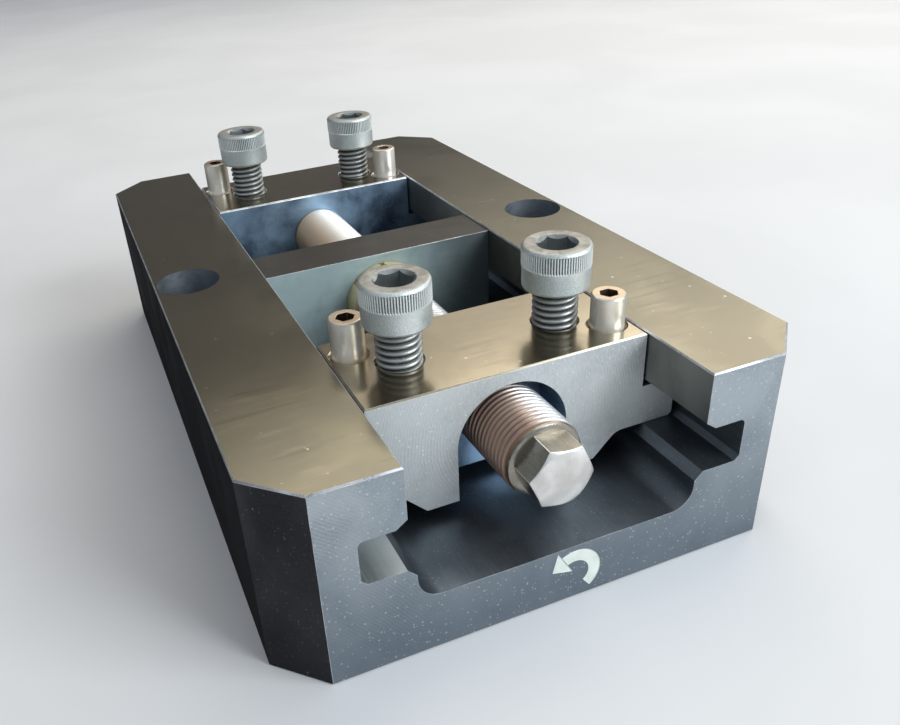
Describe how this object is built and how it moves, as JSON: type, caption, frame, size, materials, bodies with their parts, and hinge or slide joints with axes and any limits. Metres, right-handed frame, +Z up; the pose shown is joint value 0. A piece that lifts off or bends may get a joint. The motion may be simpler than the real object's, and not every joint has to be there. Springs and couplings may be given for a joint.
{
  "type": "self-centering machine vise",
  "caption": "Self-centering machine vise base: a slotted steel body whose hex-driven screw with opposite threads moves a pair of jaw carriers together or apart, equally.",
  "frame": {"origin": "middle of the underside, on the surface that the vise is bolted to", "axes": "+X to the right seen from the drive end, +Y along the screw from the drive end to the far end, +Z up"},
  "size_m": [0.1524, 0.255, 0.0835],
  "materials": {
    "black_steel": "black oxide on ground and milled steel",
    "blued_steel": "blue-grey oxide, ground",
    "ground_steel": "fine ground, satin",
    "thread_steel": "turned, oiled",
    "screw_steel": "worn black oxide",
    "pin_steel": "polished",
    "brass": "turned",
    "bronze": "turned bearing bronze"
  },
  "bodies": {
    "base": {"base_body": "black_steel", "centre_block": "blued_steel", "block_screws": "screw_steel", "block_dowels": "pin_steel", "screw_bush": "bronze", "front_thrust_washer": "bronze", "rear_thrust_washer": "bronze"},
    "screw": {"lead_screw": "thread_steel", "bearing_lock_nut": "brass", "lock_nut_set_screw": "screw_steel"},
    "front_jaw": {"front_carrier": "ground_steel", "front_left_jaw_screw": "screw_steel", "front_right_jaw_screw": "screw_steel", "front_left_dowel": "pin_steel", "front_right_dowel": "pin_steel"},
    "rear_jaw": {"rear_carrier": "ground_steel", "rear_left_jaw_screw": "screw_steel", "rear_right_jaw_screw": "screw_steel", "rear_left_dowel": "pin_steel", "rear_right_dowel": "pin_steel"}
  },
  "joints": [
    {"name": "screw_turn", "type": "hinge", "parent": "base", "child": "screw", "pos_m": [0, 0, 0.04005], "axis": [0, 1, 0], "range_deg": [-4680, 8640]},
    {"name": "front_slide", "type": "slide", "parent": "base", "child": "front_jaw", "axis": [0, 1, 0], "range_m": [-0.0237, 0.0437]},
    {"name": "rear_slide", "type": "slide", "parent": "base", "child": "rear_jaw", "axis": [0, -1, 0], "range_m": [-0.0237, 0.0437]}
  ],
  "couplings": [
    {"joint": "front_slide", "follows": "screw_turn", "m_per_rad": 0.00028876},
    {"joint": "rear_slide", "follows": "screw_turn", "m_per_rad": 0.00028876}
  ]
}
